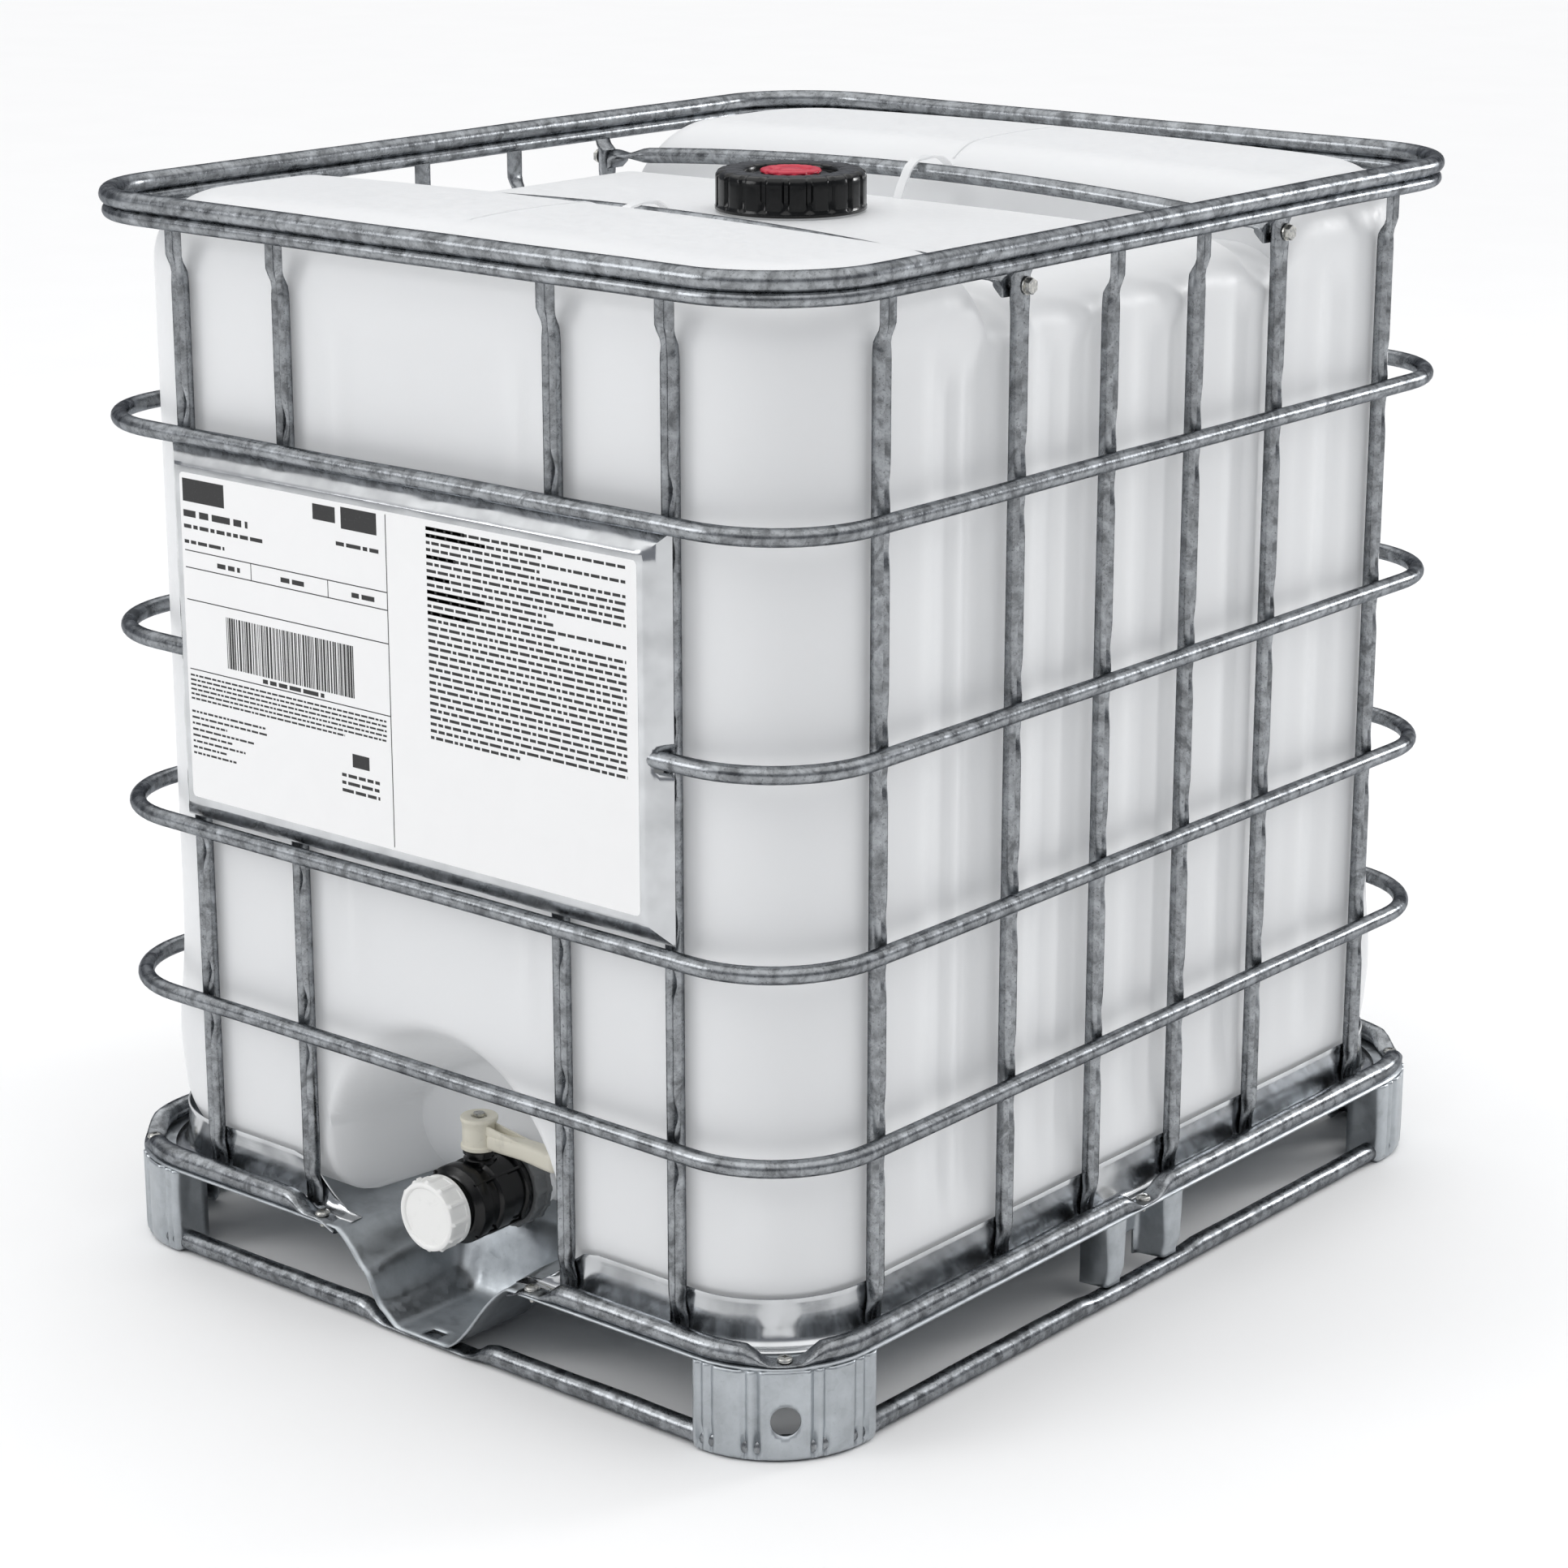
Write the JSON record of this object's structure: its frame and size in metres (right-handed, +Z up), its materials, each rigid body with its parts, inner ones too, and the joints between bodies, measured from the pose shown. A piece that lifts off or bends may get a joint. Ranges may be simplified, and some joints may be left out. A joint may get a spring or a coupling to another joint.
{
  "type": "intermediate bulk container",
  "caption": "Caged bulk liquid container on a steel pallet: blown plastic tank in a tube cage with label plate, screw lid with vent plug, and butterfly outlet valve with lever and dust cap.",
  "frame": {"origin": "on the floor under the middle of the container", "axes": "+Z up, outlet valve faces -Y, long sides face +X and -X"},
  "size_m": [1, 1.2, 1.16],
  "materials": {
    "tank_plastic": "satin",
    "lid_plastic": "gloss",
    "vent_plastic": "satin",
    "valve_plastic": "satin",
    "stem_steel": "satin",
    "lever_plastic": "satin",
    "cap_plastic": "satin",
    "union_plastic": "satin",
    "seal_rubber": "matte",
    "label_paper": "satin",
    "zinc_fasteners": "satin",
    "bright_sheet_steel": "satin",
    "galvanised_sheet": "satin",
    "galvanised_tube": "satin"
  },
  "bodies": {
    "container": {"bar_bolts": "zinc_fasteners", "bar_nuts": "zinc_fasteners", "bar_washers": "zinc_fasteners", "cage_ring_four": "galvanised_tube", "cage_ring_one": "galvanised_tube", "cage_ring_three": "galvanised_tube", "cage_ring_two": "galvanised_tube", "corner_foot_front_left": "galvanised_sheet", "corner_foot_front_right": "galvanised_sheet", "corner_foot_rear_left": "galvanised_sheet", "corner_foot_rear_right": "galvanised_sheet", "cross_bar_front": "galvanised_tube", "cross_bar_rear": "galvanised_tube", "deck_pan": "galvanised_sheet", "front_upright_1": "galvanised_tube", "front_upright_2": "galvanised_tube", "front_upright_3": "galvanised_tube", "front_upright_4": "galvanised_tube", "label_plate": "bright_sheet_steel", "label_sheet": "label_paper", "left_upright_1": "galvanised_tube", "left_upright_2": "galvanised_tube", "left_upright_3": "galvanised_tube", "left_upright_4": "galvanised_tube", "left_upright_5": "galvanised_tube", "left_upright_6": "galvanised_tube", "pallet_screws": "zinc_fasteners", "pallet_top_ring": "galvanised_tube", "rear_foot": "galvanised_sheet", "rear_upright_1": "galvanised_tube", "rear_upright_2": "galvanised_tube", "rear_upright_3": "galvanised_tube", "rear_upright_4": "galvanised_tube", "right_upright_1": "galvanised_tube", "right_upright_2": "galvanised_tube", "right_upright_3": "galvanised_tube", "right_upright_4": "galvanised_tube", "right_upright_5": "galvanised_tube", "right_upright_6": "galvanised_tube", "side_foot_left": "galvanised_sheet", "side_foot_right": "galvanised_sheet", "skid_ring": "galvanised_tube", "tank": "tank_plastic", "top_rail": "galvanised_tube", "union_nut": "union_plastic", "valve_body": "valve_plastic", "valve_gasket": "seal_rubber"},
    "lid_gasket_ring": {"lid_gasket": "seal_rubber"},
    "screw_lid": {"lid": "lid_plastic"},
    "vent_seal_ring": {"vent_seal": "seal_rubber"},
    "vent": {"vent_plug": "vent_plastic"},
    "valve_lever_set": {"valve_lever": "lever_plastic", "lever_screw": "zinc_fasteners", "valve_stem": "stem_steel", "stem_seal": "seal_rubber", "valve_disc": "valve_plastic"},
    "outlet_seal_ring": {"outlet_seal": "seal_rubber"},
    "outlet_cap": {"dust_cap": "cap_plastic"}
  },
  "joints": [
    {"name": "lid_lift", "type": "slide", "parent": "container", "child": "lid_gasket_ring", "axis": [0, 0, 1], "range_m": [0, 0.021]},
    {"name": "lid_turn", "type": "hinge", "parent": "lid_gasket_ring", "child": "screw_lid", "pos_m": [0, 0, 1.13], "axis": [0, 0, 1], "range_deg": [0, 1080]},
    {"name": "vent_lift", "type": "slide", "parent": "screw_lid", "child": "vent_seal_ring", "axis": [0, 0, 1], "range_m": [0, 0.008]},
    {"name": "vent_turn", "type": "hinge", "parent": "vent_seal_ring", "child": "vent", "pos_m": [0, 0, 1.15], "axis": [0, 0, 1], "range_deg": [0, 720]},
    {"name": "valve_quarter_turn", "type": "hinge", "parent": "container", "child": "valve_lever_set", "pos_m": [0, -0.505, 0.2], "axis": [0, 0, -1], "range_deg": [0, 90]},
    {"name": "cap_slide", "type": "slide", "parent": "container", "child": "outlet_seal_ring", "axis": [0, -1, 0], "range_m": [0, 0.018]},
    {"name": "cap_turn", "type": "hinge", "parent": "outlet_seal_ring", "child": "outlet_cap", "pos_m": [0, -0.57, 0.14], "axis": [0, -1, 0], "range_deg": [0, 1080]}
  ],
  "couplings": [
    {"joint": "lid_lift", "follows": "lid_turn", "m_per_rad": 0.001114},
    {"joint": "vent_lift", "follows": "vent_turn", "m_per_rad": 0.0006366},
    {"joint": "cap_slide", "follows": "cap_turn", "m_per_rad": 0.0009549}
  ]
}
